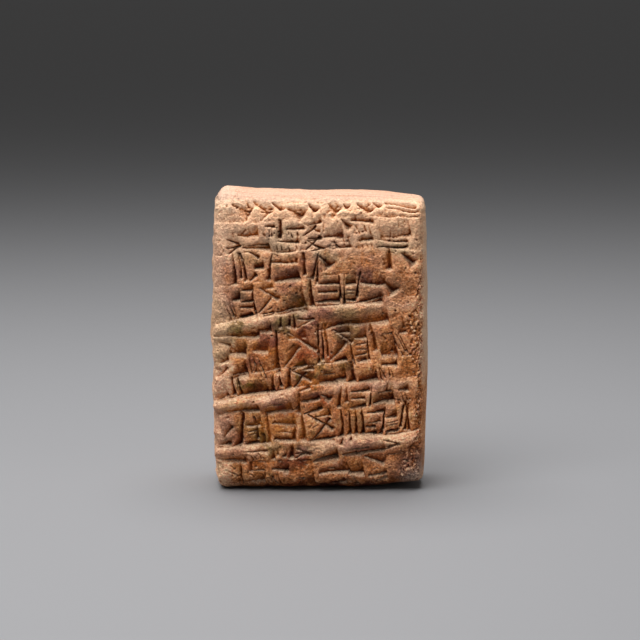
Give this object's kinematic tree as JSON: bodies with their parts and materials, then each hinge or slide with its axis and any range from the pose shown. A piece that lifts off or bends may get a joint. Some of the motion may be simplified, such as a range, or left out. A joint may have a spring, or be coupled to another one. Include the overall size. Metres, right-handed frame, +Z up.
{
  "type": "cuneiform tablet",
  "caption": "Small hand-formed clay tablet standing on its lower edge, with rounded edges and a face of ruled bands full of pressed wedge strokes.",
  "frame": {"origin": "on the surface that the tablet stands on, under the middle of its bounding box", "axes": "+Z up the tablet from its lower edge to its top edge, -Y out of the inscribed face, +X to the right as the face is read"},
  "size_m": [0.042, 0.0226, 0.0586],
  "materials": {
    "clay": "matt sun-dried clay, tan with pale worn lips, darker hollows and brown, orange and purple-brown stains"
  },
  "bodies": {
    "root": {"tablet": "clay"}
  },
  "joints": []
}
